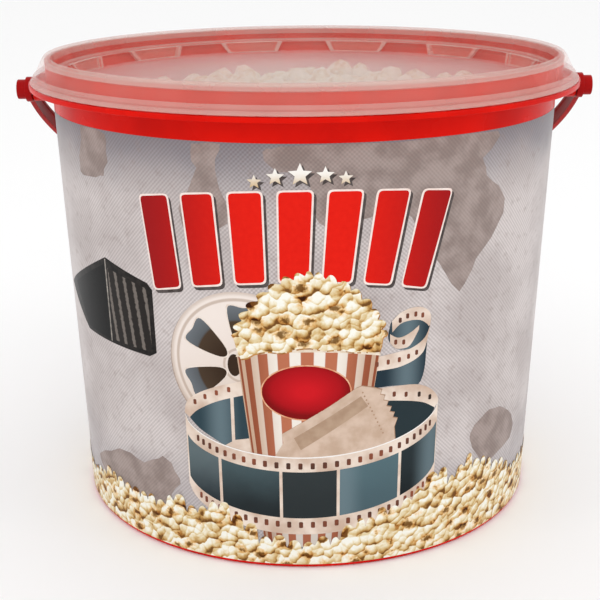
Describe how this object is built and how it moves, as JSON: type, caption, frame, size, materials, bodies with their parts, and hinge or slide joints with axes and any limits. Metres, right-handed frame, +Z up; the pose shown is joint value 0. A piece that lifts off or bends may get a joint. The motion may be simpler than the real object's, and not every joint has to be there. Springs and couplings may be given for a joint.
{
  "type": "lidded popcorn bucket",
  "caption": "Round tapered plastic popcorn bucket with printed wall, press-on translucent lid, swinging strap bail and a fill of popcorn",
  "frame": {"origin": "centre of the underside, on the surface the bucket stands on", "axes": "+Z up along the bucket's axis, X along the bail's pivot line, the printed front faces -Y and the bail hangs on the +Y side"},
  "size_m": [0.2414, 0.227, 0.1886],
  "materials": {
    "pail_plastic": "moulded red plastic, its outer wall printed",
    "lid_plastic": "translucent milky plastic",
    "popped_corn": "popped corn, dry and matte",
    "bail_plastic": "moulded red plastic"
  },
  "bodies": {
    "pail": {"bucket": "pail_plastic", "lid": "lid_plastic", "popcorn": "popped_corn"},
    "bail": {"handle": "bail_plastic"}
  },
  "joints": [
    {"name": "bail_swing", "type": "hinge", "parent": "pail", "child": "bail", "pos_m": [0, 0, 0.1725], "axis": [1, 0, 0], "range_deg": [0, 250]}
  ]
}
